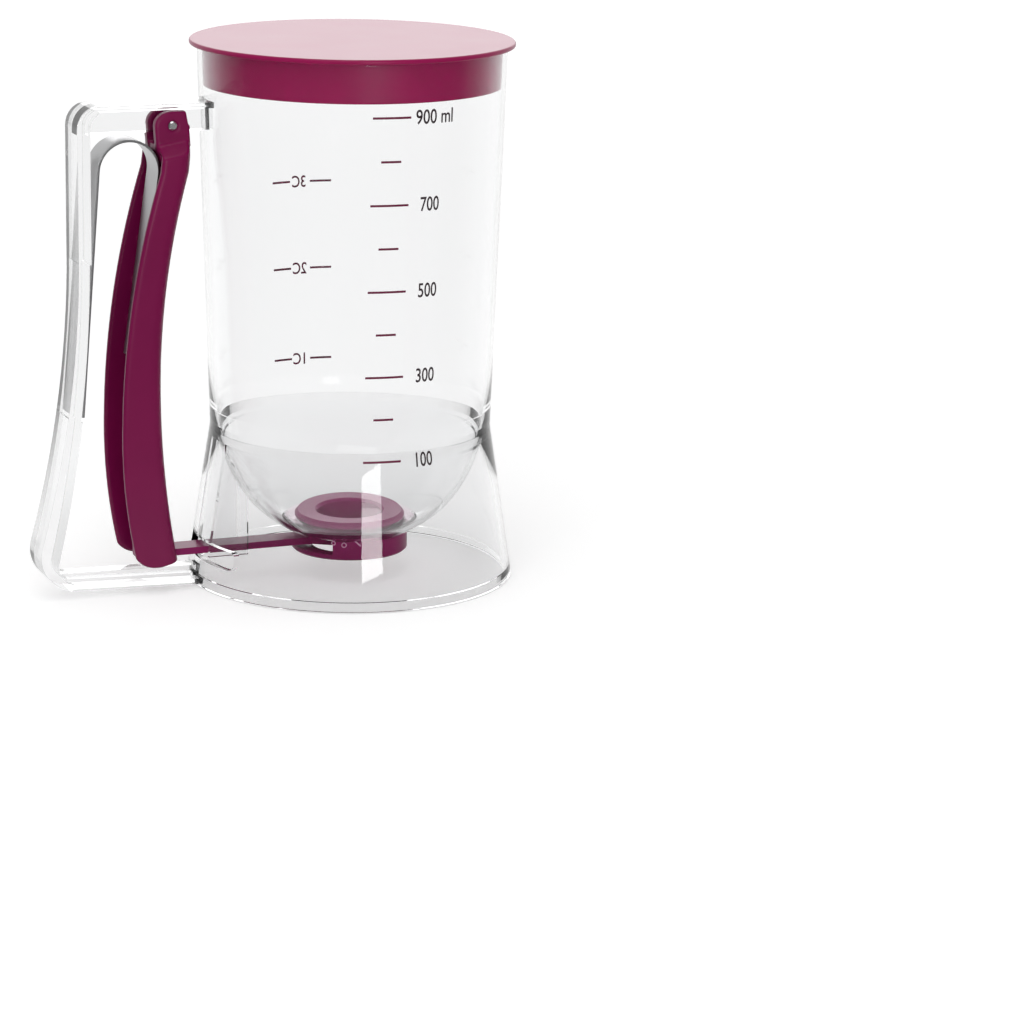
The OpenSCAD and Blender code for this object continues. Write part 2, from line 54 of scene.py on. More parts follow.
bowl_z, bowl_r, bowl_in = 56.4, 46.0, 44.6
floor_low, floor_top, seat_hole = 14.8, 18.2, 15.7
blend_top, blend_low, blend_step = 92, 46, -2
round_sides, smooth_turn = 240, 28


def start_piece():
    """Leaves nothing selected, so that the next operator works on the new piece alone."""
    bpy.ops.object.select_all(action="DESELECT")


def pick(piece):
    """Selects one piece alone."""
    start_piece()
    bpy.context.view_layer.objects.active = piece
    piece.select_set(True)


def set_down():
    """Puts the place, turn and scale of the selected piece into its mesh."""
    bpy.ops.object.transform_apply(location=True, rotation=True, scale=True)


def arc_points(r, z, radius, start, end, steps):
    """Points of an arc in the outline, in millimetres, with its angles in degrees."""
    turns = [math.radians(start + (end - start) * k / steps) for k in range(steps + 1)]
    return [(r + radius * math.cos(a), z + radius * math.sin(a)) for a in turns]


def turn_outline(name, outline):
    """Draws a ring of edges from point to point of an outline of (radius, height) in millimetres.

    The seam is merged, the faces turn outwards, and what bends less than smooth_turn is smooth.
    """
    start_piece()
    r, z = outline[0]
    bpy.ops.mesh.primitive_circle_add(vertices=round_sides, radius=r * MM, location=(0, 0, z * MM))
    bpy.context.object.name = name
    bpy.ops.object.mode_set(mode="EDIT")
    bpy.ops.mesh.select_all(action="SELECT")
    for r_next, z_next in outline[1:]:
        bpy.ops.mesh.extrude_edges_move(
            TRANSFORM_OT_translate={"value": (0, 0, (z_next - z) * MM)})
        grow = r_next / r
        bpy.ops.transform.resize(value=(grow, grow, 1), center_override=(0, 0, z_next * MM))
        r, z = r_next, z_next
    bpy.ops.mesh.select_all(action="SELECT")
    bpy.ops.mesh.remove_doubles(threshold=0.002 * MM)
    bpy.ops.mesh.normals_make_consistent(inside=False)
    bpy.ops.object.mode_set(mode="OBJECT")
    set_down()
    bpy.ops.object.shade_smooth_by_angle(angle=math.radians(smooth_turn))
    return bpy.context.object


def jug_outside(z):
    """Outer radius of the tapered tube at a height."""
    return shoulder_r + (rim_r - shoulder_r) * (z - shoulder_z) / (rim_z - shoulder_z)


def bowl_blend(z):
    """Inner radius between the tube and the bowl, where the wall thickens softly."""
    t = (blend_top - z) / (blend_top - blend_low)
    span = blend_top - blend_low
    drop = bowl_z - blend_low
    r_top, r_low = jug_outside(blend_top) - wall, math.sqrt(bowl_in**2 - drop**2)
    slope_top, slope_low = -(rim_r - shoulder_r) / (rim_z - shoulder_z), -drop / r_low
    return ((2 * t**3 - 3 * t**2 + 1) * r_top + (t**3 - 2 * t**2 + t) * slope_top * span
            + (3 * t**2 - 2 * t**3) * r_low + (t**3 - t**2) * slope_low * span)


def sphere_angle(radius, z):
    """Angle on the bowl's circle, from the level of its middle, at a height."""
    return math.degrees(math.asin((z - bowl_z) / radius))


# Two rings of edges under the rounded rim keep the long wall's shading even, and
# one above the shoulder ends the band of thick wall that has a finish of its own
shoulder_top = 58
under_rim, close_under_rim = rim_z - 1.5, rim_z - 0.8
jug_outline = [(seat_hole, floor_low)]
jug_outline += arc_points(0, bowl_z, bowl_r, sphere_angle(bowl_r, floor_low),
                          sphere_angle(bowl_r, bond_low), 26)
jug_outline += arc_points(0, bowl_z, bowl_r, sphere_angle(bowl_r, bond_low),
                          sphere_angle(bowl_r, shoulder_z), 3)[1:]
jug_outline += [(shoulder_r - 0.02, shoulder_z), (shoulder_r, shoulder_z + 0.02)]
jug_outline += [(jug_outside(z), z)
                for z in (shoulder_top, 80, 112, 144, under_rim, close_under_rim)]
jug_outline += arc_points(rim_r - rim_round, rim_z - rim_round, rim_round, 0, 90, 5)
jug_outline += arc_points(rim_r - wall + rim_round, rim_z - rim_round, rim_round, 90, 180, 5)
jug_outline += [(jug_outside(z) - wall, z) for z in (close_under_rim, under_rim, 144, 112)]
jug_outline += [(bowl_blend(z), z) for z in range(blend_top, blend_low, blend_step)]
jug_outline += arc_points(0, bowl_z, bowl_in, sphere_angle(bowl_in, blend_low),
                          sphere_angle(bowl_in, floor_top), 24)
jug_outline += [(seat_hole, floor_top), (seat_hole, floor_low)]
jug = turn_outline("clear_container", jug_outline)


def fill(tree, node, inputs):
    """Gives each named input of a node a value, or the output of another node."""
    for socket, value in inputs.items():
        if isinstance(value, bpy.types.NodeSocket):
            tree.links.new(value, node.inputs[socket])
        else:
            node.inputs[socket].default_value = value


def add_node(tree, kind, inputs):
    """Adds a shader node and fills its inputs."""
    node = tree.nodes.new("ShaderNode" + kind)
    fill(tree, node, inputs)
    return node


def two_tones(tree, factor, low, low_colour, high, high_colour):
    """One colour up to a low factor and another from a high one, with a ramp between them."""
    ramp = add_node(tree, "ValToRGB", {"Fac": factor})
    first, last = ramp.color_ramp.elements
    first.position, first.color = low, low_colour
    last.position, last.color = high, high_colour
    return ramp.outputs["Color"]


def fade(tree, value, start, end, at_start, at_end):
    """Turns a value that goes from start to end into one that goes from at_start to at_end."""
    return add_node(tree, "MapRange", {
        "Value": value, "From Min": start, "From Max": end,
        "To Min": at_start, "To Max": at_end}).outputs["Result"]


def start_finish(name):
    """A new material: itself, its nodes, its shader and the piece's own coordinates."""
    material = bpy.data.materials.new(name)
    material.use_nodes = True
    tree = material.node_tree
    place = add_node(tree, "TexCoord", {}).outputs["Object"]
    return material, tree, tree.nodes["Principled BSDF"], place


def clear_plastic(name, bend, body, edge_shade_start, edge, lamp_share):
    """Clear moulded plastic: faint flow waves, and a painted grey shade at the edges, where the wall
    is seen along its length.

    bend is its index of refraction, edge the colour of the painted grey shade at the edges, and
    lamp_share the share of lamplight that goes through.
    """
    material, tree, shader, place = start_finish(name)
    facing = add_node(tree, "LayerWeight", {"Blend": 0.5}).outputs["Facing"]
    haze = add_node(tree, "TexNoise", {"Vector": place, "Scale": 60, "Detail": 3})
    waves = add_node(tree, "TexNoise", {"Vector": place, "Scale": 28, "Detail": 1})
    bump = add_node(tree, "Bump", {"Strength": 0.12, "Distance": 0.3 * MM,
                                   "Height": waves.outputs["Fac"]})
    # Painted shade: the colour goes from the body's tint to the edge grey where the wall is seen
    # edge-on
    fill(tree, shader, {
        "IOR": bend, "Transmission Weight": 1.0,
        "Base Color": two_tones(tree, facing, edge_shade_start, body, 0.99, edge),
        "Roughness": fade(tree, haze.outputs["Fac"], 0, 1, 0.0, 0.02),
        "Normal": bump.outputs["Normal"]})
    ray = add_node(tree, "LightPath", {})
    lamp = add_node(tree, "BsdfTransparent", {"Color": lamp_share})
    mix = add_node(tree, "MixShader", {"Fac": ray.outputs["Is Shadow Ray"],
                                       1: shader.outputs["BSDF"], 2: lamp.outputs["BSDF"]})
    fill(tree, tree.nodes["Material Output"], {"Surface": mix.outputs["Shader"]})
    return material


def bonded_seam(name, low, high):
    """A bonded joint between two clear walls, a see-through layer tinted between low and high: near
    white, light passes as if they were one, and dark grey is painted shade on the joint.
    """
    material, tree, shader, place = start_finish(name)
    tree.nodes.remove(shader)
    melt = add_node(tree, "TexNoise", {"Vector": place, "Scale": 300})
    trace = two_tones(tree, melt.outputs["Fac"], 0, (low, low, low, 1), 1, (high, high, high, 1))
    weld = add_node(tree, "BsdfTransparent", {"Color": trace})
    fill(tree, tree.nodes["Material Output"], {"Surface": weld.outputs["BSDF"]})
    return material


def finish_faces(piece, material, belongs):
    """Gives the faces whose corners all belong, by their radius and height, their own finish."""
    piece.data.materials.append(material)
    for face in piece.data.polygons:
        corners = [piece.data.vertices[v].co / MM for v in face.vertices]
        if all(belongs(math.hypot(p.x, p.y), p.z) for p in corners):
            face.material_index = len(piece.data.materials) - 1


def on_bond(edge_r):
    """Tells whether a point lies on the bonded shoulder, inside an outer radius."""
    return lambda r, z: 45.2 < r < edge_r and bond_low - 0.05 < z < shoulder_z + 0.01


# The thick shoulder bends light less than the wall, so that it doesn't turn black at its ends, and
# the clear floor is tinted pink, a painted reflection of the magenta seat that lies against it
jug_share = (0.90, 0.90, 0.91, 1)
jug_body, floor_painted_magenta = (0.97, 0.972, 0.974, 1), (0.90, 0.76, 0.83, 1)
# Each clear finish's second colour is the painted grey shade at its edges, and the floor's pink body
# is painted reflection of the seat
jug_clear = clear_plastic("jug_clear", 1.32, jug_body, 0.92, (0.72, 0.74, 0.76, 1), jug_share)
jug_shoulder = clear_plastic("jug_shoulder", 1.20, jug_body, 0.92, (0.80, 0.81, 0.82, 1), jug_share)
jug_weld = bonded_seam("jug_weld", 0.965, 0.995)
jug_floor = clear_plastic("jug_floor", 1.25, floor_painted_magenta, 0.80, (0.80, 0.58, 0.69, 1), jug_share)
jug.data.materials.append(jug_clear)
finish_faces(jug, jug_shoulder, lambda r, z: blend_low - 1 < z < shoulder_top + 0.1)
finish_faces(jug, jug_weld, on_bond(shoulder_r))
finish_faces(jug, jug_floor, lambda r, z: r < seat_hole + 8.3 and z < floor_top + 3.8)
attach(jug, "jug")
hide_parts("container")


# ------------------------------------------------------------------ base cone
# The clear foot that it stands on: a cone bonded under the shoulder, with a
# stepped rim, a round-cornered window for the valve's strap and two thin ribs
# that guide the strap.
base_r, cone_wall, bond_gap = 55.0, 2.2, 0.05
recess_top, recess_r = 3.0, 53.2
window_low, window_high, window_half, window_round = 8.8, 15.0, 22, 2.2
rib_low, rib_high, rib_near, rib_far = 10.2, 48, 5.2, 6.8


def cut_away(piece, cutter, operation="DIFFERENCE"):
    """Takes the cutter out of the piece, or joins it on, and removes the cutter."""
    pick(piece)
    change = piece.modifiers.new("shape", "BOOLEAN")
    change.operation = operation
    change.solver = "EXACT"
    change.object = cutter
    bpy.ops.object.modifier_apply(modifier="shape")
    bpy.data.objects.remove(cutter)


def add_block(name, low, high):
    """A block between two corners, in millimetres."""
    start_piece()
    middle = [(a + b) / 2 * MM for a, b in zip(low, high)]
    bpy.ops.mesh.primitive_cube_add(size=1, location=middle,
                                    scale=[(b - a) * MM for a, b in zip(low, high)])
    bpy.context.object.name = name
    set_down()
    return bpy.context.object


def pick_edges(piece, belongs):
    """Selects the edges of a piece whose two ends belong, for the next edit."""
    bpy.ops.object.mode_set(mode="EDIT")
    bpy.ops.mesh.select_mode(type="EDGE")
    bpy.ops.mesh.select_all(action="DESELECT")
    bpy.ops.object.mode_set(mode="OBJECT")
    for edge in piece.data.edges:
        edge.select = belongs(*(piece.data.vertices[v].co for v in edge.vertices))
    bpy.ops.object.mode_set(mode="EDIT")


def cone_outside(z):
    """Outer radius of the cone at a height."""
    return base_r - (base_r - shoulder_r) * z / shoulder_z


def cone_inside(z):
    """Inner radius of the cone at a height."""
    return base_r - cone_wall - (base_r - shoulder_r) * z / shoulder_z


bond_top = shoulder_z - bond_gap
cone_outline = [(recess_r, 0), (base_r - 0.3, 0), (base_r - 0.05, 0.3)]
cone_outline += [(cone_outside(z), z) for z in (0.8, 1.6, 16, 32, 48)]
cone_outline += [(shoulder_r + 0.01, bond_top)]
cone_outline += arc_points(0, bowl_z, bowl_r + bond_gap, sphere_angle(bowl_r, bond_top),
                           sphere_angle(bowl_r, bond_low), 4)
cone_outline += [(cone_inside(z), z) for z in (32, 16, recess_top)]
cone_outline += [(recess_r, recess_top), (recess_r, 0)]
cone = turn_outline("clear_foot_cone", cone_outline)

window = add_block("window", (-60, -window_half, window_low), (-40, window_half, window_high))
pick_edges(window, lambda a, b: abs(a.x - b.x) > 1 * MM)
bpy.ops.mesh.bevel(offset=window_round * MM, segments=8, affect="EDGES")
bpy.ops.object.mode_set(mode="OBJECT")
cut_away(cone, window)

axis_r = 0.01
rib_bowl = [(max(r, axis_r), z)
            for r, z in arc_points(0, bowl_z, bowl_r + bond_gap, -90, -5, 24)]
rib_bowl += [(46.2, 60), (axis_r, 60)]
mid_wall, hull_low = base_r - cone_wall / 2, 5
rib_hull = [(axis_r, hull_low),
            (mid_wall - hull_low * (base_r - shoulder_r) / shoulder_z, hull_low),
            (mid_wall - (base_r - shoulder_r), shoulder_z), (axis_r, shoulder_z)]
for side in (-1, 1):
    y_low, y_high = sorted((side * rib_near, side * rib_far))
    rib = add_block("rib", (-54.2, y_low, rib_low), (-38, y_high, rib_high))
    cut_away(rib, turn_outline("rib_bowl", rib_bowl))
    cut_away(rib, turn_outline("rib_hull", rib_hull), "INTERSECT")
    cut_away(cone, rib, "UNION")
bpy.ops.object.shade_smooth_by_angle(angle=math.radians(smooth_turn))
cone.data.materials.clear()
# Painted shade: the foot's clear wall turns grey at its edges, where it is seen edge-on
foot_clear = clear_plastic("foot_clear", 1.27, (0.948, 0.949, 0.951, 1), 0.92,
                           (0.74, 0.75, 0.76, 1), (0.20, 0.20, 0.21, 1))
cone.data.materials.append(foot_clear)
finish_faces(cone, jug_weld, on_bond(shoulder_r + 0.02))
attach(cone, "jug")
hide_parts("base_cone")


# --------------------------------------------------------------- handle frame
# The D handle: a clear bracket of two flat arms stiffened by a web each and a grip that flares to
# its foot.  Both arms end on the jug and its cone in a painted dark line, shade that stands for the
# dark surroundings mirrored in the joint, and the grip has a shallow seat for the spring.
def copy_solid(name, node):
    """A merged copy of a solid, with its flat faces whole again."""
    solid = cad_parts[node]
    piece = bpy.data.objects.new(name, solid.data.copy())
    bpy.context.scene.collection.objects.link(piece)
    pick(piece)
    bpy.ops.object.mode_set(mode="EDIT")
    bpy.ops.mesh.select_all(action="SELECT")
    bpy.ops.mesh.remove_doubles(threshold=0.002 * MM)
    bpy.ops.mesh.dissolve_limited(angle_limit=math.radians(0.6))
    bpy.ops.object.mode_set(mode="OBJECT")
    piece.data.materials.clear()
    return piece


def soften(piece, width, segments, angle):
    """Rounds the edges that bend more than an angle, and smooths the curved faces."""
    pick(piece)
    edge = piece.modifiers.new("edges", "BEVEL")
    edge.width = width * MM
    edge.segments = segments
    edge.limit_method = "ANGLE"
    edge.angle_limit = math.radians(angle)
    edge.use_clamp_overlap = True
    bpy.ops.object.modifier_apply(modifier="edges")
    bpy.ops.object.shade_smooth_by_angle(angle=math.radians(30))
    flats = piece.modifiers.new("flats", "WEIGHTED_NORMAL")
    flats.keep_sharp = True
    bpy.ops.object.modifier_apply(modifier="flats")


joint_reach, between_arms = 0.7, 60


def on_dark_joint(r, z):
    """Tells whether a point of the handle lies on the jug or on its cone."""
    return r < (jug_outside(z) if z > between_arms else base_r) + joint_reach


handle = copy_solid("clear_handle", "handle_frame")
soften(handle, 0.5, segments=3, angle=35)
# Painted shade: the handle turns dark grey at its edges, where it is seen edge-on
handle_clear = clear_plastic("handle_clear", 1.49, (0.925, 0.927, 0.930, 1), 0.70,
                             (0.10, 0.11, 0.12, 1), (0.74, 0.74, 0.75, 1))
handle.data.materials.append(handle_clear)
# Painted shade: the arms' faces on the jug and its cone get a dark see-through layer
finish_faces(handle, bonded_seam("joint_painted_dark", 0.16, 0.30), on_dark_joint)
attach(handle, "jug")
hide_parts("handle_frame")


# ------------------------------------------------- valve seat, valve and ring
# The outlet that sits in the bowl's floor: a magenta flange and neck, sealed
# by a thin washer.  The twist ring holds it from below and carries the sliding
# valve plate.  All three are moulded in dyed plastic.
def magenta_plastic(name, shade, pale, gloss):
    """Dyed moulded plastic: slightly clouded colour and an even satin gloss."""
    material, tree, shader, place = start_finish(name)
    cloud = add_node(tree, "TexNoise", {"Vector": place, "Scale": 45, "Detail": 4}).outputs["Fac"]
    grain = add_node(tree, "TexNoise", {"Vector": place, "Scale": 2600, "Detail": 2})
    bump = add_node(tree, "Bump", {"Strength": 0.06, "Distance": 0.05 * MM,
                                   "Height": grain.outputs["Fac"]})
    fill(tree, shader, {
        "IOR": 1.49, "Specular IOR Level": gloss,
        "Base Color": two_tones(tree, cloud, 0.3, shade, 0.75, pale),
        "Roughness": fade(tree, cloud, 0, 1, 0.27, 0.31),
        "Normal": bump.outputs["Normal"]})
    return material


def dress_node(node, material):
    """Gives a solid that stays its finish."""
    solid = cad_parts[node]
    solid.data.materials.clear()
    solid.data.materials.append(material)


# The seat's magenta is painted paler than the ring's: painted light for the haze of light on its
# flange inside the bowl
seat_painted_pale = magenta_plastic("seat_painted_pale", (0.45, 0.065, 0.23, 1), (0.48, 0.075, 0.25, 1), 0.12)
valve_magenta = magenta_plastic("valve_magenta", (0.215, 0.012, 0.088, 1),
                                (0.235, 0.014, 0.097, 1), 0.12)
dress_node("valve_seat", seat_painted_pale)
dress_node("retaining_ring", valve_magenta)
dress_node("slide_valve", valve_magenta)


# ----------------------------------------------------------------- ring marks
# Two small circles and a slanted bar, moulded on the ring's side and paler than
# the ring: they tell where it is open and where it is shut.
ring_r, wire_r = 19.5, 0.18
ring_marks = []
for name, azimuth, mark_z, circle_r in (("ring_open_mark", -115.1, 13.53, 0.75),
                                        ("ring_shut_mark", -125.6, 14.03, 0.62)):
    start_piece()
    turn_to = math.radians(azimuth)
    bpy.ops.mesh.primitive_torus_add(
        location=(ring_r * MM * math.cos(turn_to), ring_r * MM * math.sin(turn_to), mark_z * MM),
        rotation=(math.radians(90), 0, turn_to + math.radians(90)),
        major_radius=circle_r * MM, minor_radius=wire_r * MM, major_segments=32, minor_segments=10)
    ring_marks.append(bpy.context.object)
    ring_marks[-1].name = name
    set_down()
    bpy.ops.object.shade_smooth()
bar_r, bar_z, bar_azimuth, bar_slant = 19.45, 14.0, -101.4, 42
bar = add_block("ring_bar_mark", (-1.35, -0.16, -0.2), (1.35, 0.16, 0.2))
bpy.ops.transform.rotate(value=math.radians(-bar_slant), orient_axis="Y", center_override=(0, 0, 0))
bpy.ops.transform.rotate(value=math.radians(-bar_azimuth - 90), orient_axis="Z",
                         center_override=(0, 0, 0))
turn_to = math.radians(bar_azimuth)
bpy.ops.transform.translate(value=(bar_r * MM * math.cos(turn_to), bar_r * MM * math.sin(turn_to),
                                   bar_z * MM))
set_down()
ring_marks.append(bar)
mark_magenta = magenta_plastic("mark_magenta", (0.62, 0.30, 0.46, 1), (0.68, 0.36, 0.52, 1), 0.4)
for mark in ring_marks:
    mark.data.materials.append(mark_magenta)
    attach(mark, "ring")


# ------------------------------------------------------------------ seat seal
# A flat washer of translucent silicone, squeezed between the seat's flange and
# the jug's floor so that no batter leaks past the outlet.
# Painted shade: the washer turns a darker pink at its edges, where it is seen edge-on
seal_silicone = clear_plastic("seal_silicone", 1.2, (0.90, 0.80, 0.85, 1), 0.6,
                              (0.84, 0.72, 0.78, 1), (0.8, 0.8, 0.8, 1))
dress_node("seat_seal", seal_silicone)


# -------------------------------------------------------------- trigger lever
# The magenta trigger: a curved U channel with two ears for the pivot pin, and
# a peg at its foot that pulls the valve's strap.  Its moulded edges are soft.
def relax_edges(piece, grain, rounds, keep):
    """Rounds all edges of a moulded piece: a fine even mesh is relaxed, then thinned out."""
    pick(piece)
    fine = piece.modifiers.new("fine", "REMESH")
    fine.mode = "VOXEL"
    fine.voxel_size = grain * MM
    bpy.ops.object.modifier_apply(modifier="fine")
    relax = piece.modifiers.new("relax", "SMOOTH")
    relax.factor = 0.5
    relax.iterations = rounds
    bpy.ops.object.modifier_apply(modifier="relax")
    thin = piece.modifiers.new("thin", "DECIMATE")
    thin.ratio = keep
    bpy.ops.object.modifier_apply(modifier="thin")
    bpy.ops.object.shade_smooth_by_angle(angle=math.radians(50))


pivot_x, pivot_z, bore_r = -63.6, 154.8, 1.52
lever = copy_solid("trigger", "trigger_lever")
relax_edges(lever, grain=0.36, rounds=14, keep=0.5)
start_piece()
bpy.ops.mesh.primitive_cylinder_add(vertices=48, radius=bore_r * MM, depth=40 * MM,
                                    location=(pivot_x * MM, 0, pivot_z * MM),
                                    rotation=(math.radians(90), 0, 0))
bpy.context.object.name = "pin_bore"
cut_away(lever, bpy.context.object)
pick(lever)
bpy.ops.object.shade_smooth_by_angle(angle=math.radians(50))
magenta = magenta_plastic("magenta", (0.176, 0.003, 0.057, 1), (0.194, 0.0035, 0.063, 1), 0.24)
lever.data.materials.append(magenta)
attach(lever, "lever")
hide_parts("trigger_lever")


# ------------------------------------------------------------------ pivot pin
# A turned steel pin with bright ends, pressed through both ears.  The lever
# swings with it in the web of the handle's upper arm.
def bright_steel(name, tone, rough):
    """Bright steel with fine lines of rolling or turning along the piece."""
    material, tree, shader, place = start_finish(name)
    stretch = add_node(tree, "Mapping", {"Vector": place, "Scale": (400, 2600, 60)})
    lines = add_node(tree, "TexNoise", {"Vector": stretch.outputs["Vector"], "Scale": 1,
                                        "Detail": 3}).outputs["Fac"]
    fill(tree, shader, {
        "Metallic": 1.0,
        "Base Color": two_tones(tree, lines, 0, (tone * 0.9, tone * 0.9, tone * 0.92, 1),
                                1, (tone, tone, tone * 1.01, 1)),
        "Roughness": fade(tree, lines, 0, 1, rough * 0.8, rough * 1.2)})
    return material


dress_node("pivot_pin", bright_steel("pin_steel", 0.9, 0.25))


# -------------------------------------------------------------- return spring
# A rolled steel strip bent over a loop: one leg lies in the grip's seat, and the other presses on
# the lever's ribs.
strip_w, strip_t = 12.5, 0.8
loop_x, loop_z, loop_r = -78.2, 140.3, 10.1
lean_in, lean_out, leg_in, leg_out = 4.2, 7.9, 80.6, 60.9
steps_in, steps_loop, steps_out = 20, 36, 16
start_piece()
bpy.ops.mesh.primitive_plane_add(size=strip_w * MM, location=(0, 0, 0))
spring = bpy.context.object
spring.name = "spring_strip"
bpy.ops.object.mode_set(mode="EDIT")
bpy.ops.mesh.select_all(action="SELECT")
bpy.ops.mesh.delete(type="ONLY_FACE")
pick_edges(spring, lambda a, b: not (abs(a.x - b.x) < 1e-6 and a.x < 0))
bpy.ops.mesh.delete(type="EDGE")
bpy.ops.mesh.select_all(action="SELECT")
leg_angle = math.radians(lean_in)
foot = Vector((loop_x - loop_r * math.cos(leg_angle) - leg_in * math.sin(leg_angle), 0,
               loop_z + loop_r * math.sin(leg_angle) - leg_in * math.cos(leg_angle)))
here = Vector((-strip_w / 2, 0, 0))
bpy.ops.transform.translate(value=(foot - here) * MM)
up = Vector((math.sin(leg_angle), 0, math.cos(leg_angle)))
for k in range(steps_in):
    bpy.ops.mesh.extrude_edges_move(TRANSFORM_OT_translate={"value": up * (leg_in / steps_in * MM)})
turn = 180 - lean_in + lean_out
bpy.ops.mesh.spin(steps=steps_loop, angle=-math.radians(turn), axis=(0, 1, 0),
                  center=(loop_x * MM, 0, loop_z * MM))
down_angle = math.radians(lean_out)
down = Vector((-math.sin(down_angle), 0, -math.cos(down_angle)))
for k in range(steps_out):
    bpy.ops.mesh.extrude_edges_move(
        TRANSFORM_OT_translate={"value": down * (leg_out / steps_out * MM)})
bpy.ops.mesh.select_all(action="SELECT")
bpy.ops.mesh.remove_doubles(threshold=0.002 * MM)
bpy.ops.mesh.normals_make_consistent(inside=False)
bpy.ops.object.mode_set(mode="OBJECT")
set_down()
thick = spring.modifiers.new("strip", "SOLIDIFY")
thick.thickness = strip_t * MM
thick.offset = 0
bpy.ops.object.modifier_apply(modifier="strip")
soften(spring, 0.12, segments=2, angle=50)
spring.data.materials.append(bright_steel("spring_steel", 0.42, 0.3))
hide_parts("return_spring")
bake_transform(spring)


# ------------------------------------------------------------------------ lid
# The lift-off lid: a thin magenta disc on a hollow plug, moulded in one.  The
# plug fits inside the jug's rim, and the disc rests on it.
lid_r, lid_top, upper_round, lower_round = 53.5, 180.0, 0.7, 0.5
flat_r, centre_r = 52.4, 0.02
plug_low, plug_wall, lid_fit = 165.4, 1.4, 0.15
foot_round, foot_inner_round, root_round, root_chamfer = 0.5, 0.4, 1, 0.4
plug_top_r = jug_outside(rim_z) - wall - lid_fit
plug_low_r = jug_outside(plug_low) - wall - lid_fit
lid_outline = [(r, lid_top) for r in (centre_r, 20, 40, flat_r - 0.6, flat_r)]
lid_outline += arc_points(lid_r - upper_round, lid_top - upper_round, upper_round, 90, 0, 5)
lid_outline += arc_points(lid_r - lower_round, rim_z + lower_round, lower_round, 0, -90, 4)
lid_outline += [(flat_r, rim_z), (plug_top_r + root_chamfer, rim_z),
                (plug_top_r, rim_z - root_chamfer)]
lid_outline += [(plug_low_r + 0.03, plug_low + 1.4), (plug_low_r + 0.01, plug_low + 0.8)]
lid_outline += arc_points(plug_low_r - foot_round, plug_low + foot_round, foot_round, 0, -90, 4)
lid_outline += arc_points(plug_low_r - plug_wall + foot_inner_round, plug_low + foot_inner_round,
                          foot_inner_round, -90, -180, 3)
lid_outline += arc_points(plug_top_r - plug_wall - root_round, rim_z - root_round,
                          root_round, 0, 90, 4)
lid_outline += [(r, rim_z) for r in (40, 20, centre_r)]
lid = turn_outline("plug_lid", lid_outline)
bpy.ops.object.mode_set(mode="EDIT")
bpy.ops.mesh.select_all(action="DESELECT")
bpy.ops.mesh.select_non_manifold()
bpy.ops.mesh.edge_face_add()
bpy.ops.object.mode_set(mode="OBJECT")
lid_magenta = magenta_plastic("lid_magenta", (0.285, 0.003, 0.070, 1), (0.305, 0.004, 0.077, 1), 0.3)
lid.data.materials.append(lid_magenta)
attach(lid, "lid")
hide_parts("lid")


# -------------------------------------------------------------- printed scale
# Screen-printed marks: millilitres on the front, cups on the back.  Each mark
# is a thin layer of ink that follows the wall.
ink_t, ink_lift, line_half, figure_swell = 0.05, 0.01, 0.36, 0.07
capital_share = 0.73
low_mark, mark_step, mark_w, half_mark_w = 48.6, 28.15, 12.6, 6.6
mark_angle, mark_lean, half_mark_shift = -97.2, 0.45, 0.3
figure_angle, figure_h, figure_narrow = -79.8, 4.8, 0.72
cup_angle, cup_figure_h, cup_narrow = 91.9, 4.1, 0.8


def print_ink(name, colour, worn):
    """Screen ink with a slightly broken surface."""
    material, tree, shader, place = start_finish(name)
    weave = add_node(tree, "TexNoise", {"Vector": place, "Scale": 1500})
    fill(tree, shader, {
        "Roughness": 0.4,
        "Base Color": two_tones(tree, weave.outputs["Fac"], 0.35, colour, 0.7, worn)})
    return material


def wrap_print(piece, angle, z, ink):
    """Wraps flat print, drawn in x and z round its middle, on the wall at an angle in degrees."""
    def outside(height):
        return jug_outside(height) if height > shoulder_z else cone_outside(height)

    for vertex in piece.data.vertices:
        x, high, depth = vertex.co.x, z * MM + vertex.co.z, vertex.co.y
        r = outside(high / MM) * MM + ink_lift * MM - depth
        turn_to = math.radians(angle) + x / (outside(z) * MM)
        vertex.co = (r * math.cos(turn_to), r * math.sin(turn_to), high)
    piece.data.materials.clear()
    piece.data.materials.append(ink)
    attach(piece, "jug")


def print_line(name, angle, z, length, ink):
    """One short printed line round the wall."""
    line = add_block(name, (-length / 2, -ink_t, -line_half), (length / 2, 0, line_half))
    bpy.ops.object.mode_set(mode="EDIT")
    bpy.ops.mesh.select_all(action="SELECT")
    bpy.ops.mesh.subdivide(number_cuts=9)
    bpy.ops.object.mode_set(mode="OBJECT")
    wrap_print(line, angle, z, ink)


def print_text(name, words, angle, z, height, narrow, ink):
    """Printed figures, centred on an angle and a height."""
    start_piece()
    bpy.ops.object.text_add(location=(0, 0, 0))
    text = bpy.context.object
    text.name = name
    text.data.body = words
    text.data.align_x = "CENTER"
    text.data.align_y = "CENTER"
    text.data.size = height / capital_share * MM
    text.data.resolution_u = 4
    text.data.offset = figure_swell * MM
    bpy.ops.object.convert(target="MESH")
    text = bpy.context.object
    bpy.ops.object.mode_set(mode="EDIT")
    bpy.ops.mesh.select_all(action="SELECT")
    bpy.ops.transform.resize(value=(narrow, 1, 1), center_override=(0, 0, 0))
    bpy.ops.object.mode_set(mode="OBJECT")
    low = min(v.co.y for v in text.data.vertices)
    high = max(v.co.y for v in text.data.vertices)
    text.data.transform(Matrix.Translation((0, -(low + high) / 2, 0)))
    text.data.transform(Matrix.Rotation(math.radians(90), 4, "X"))
    ink_layer = text.modifiers.new("ink", "SOLIDIFY")
    ink_layer.thickness = ink_t * MM
    ink_layer.offset = 1
    bpy.ops.object.modifier_apply(modifier="ink")
    wrap_print(text, angle, z, ink)


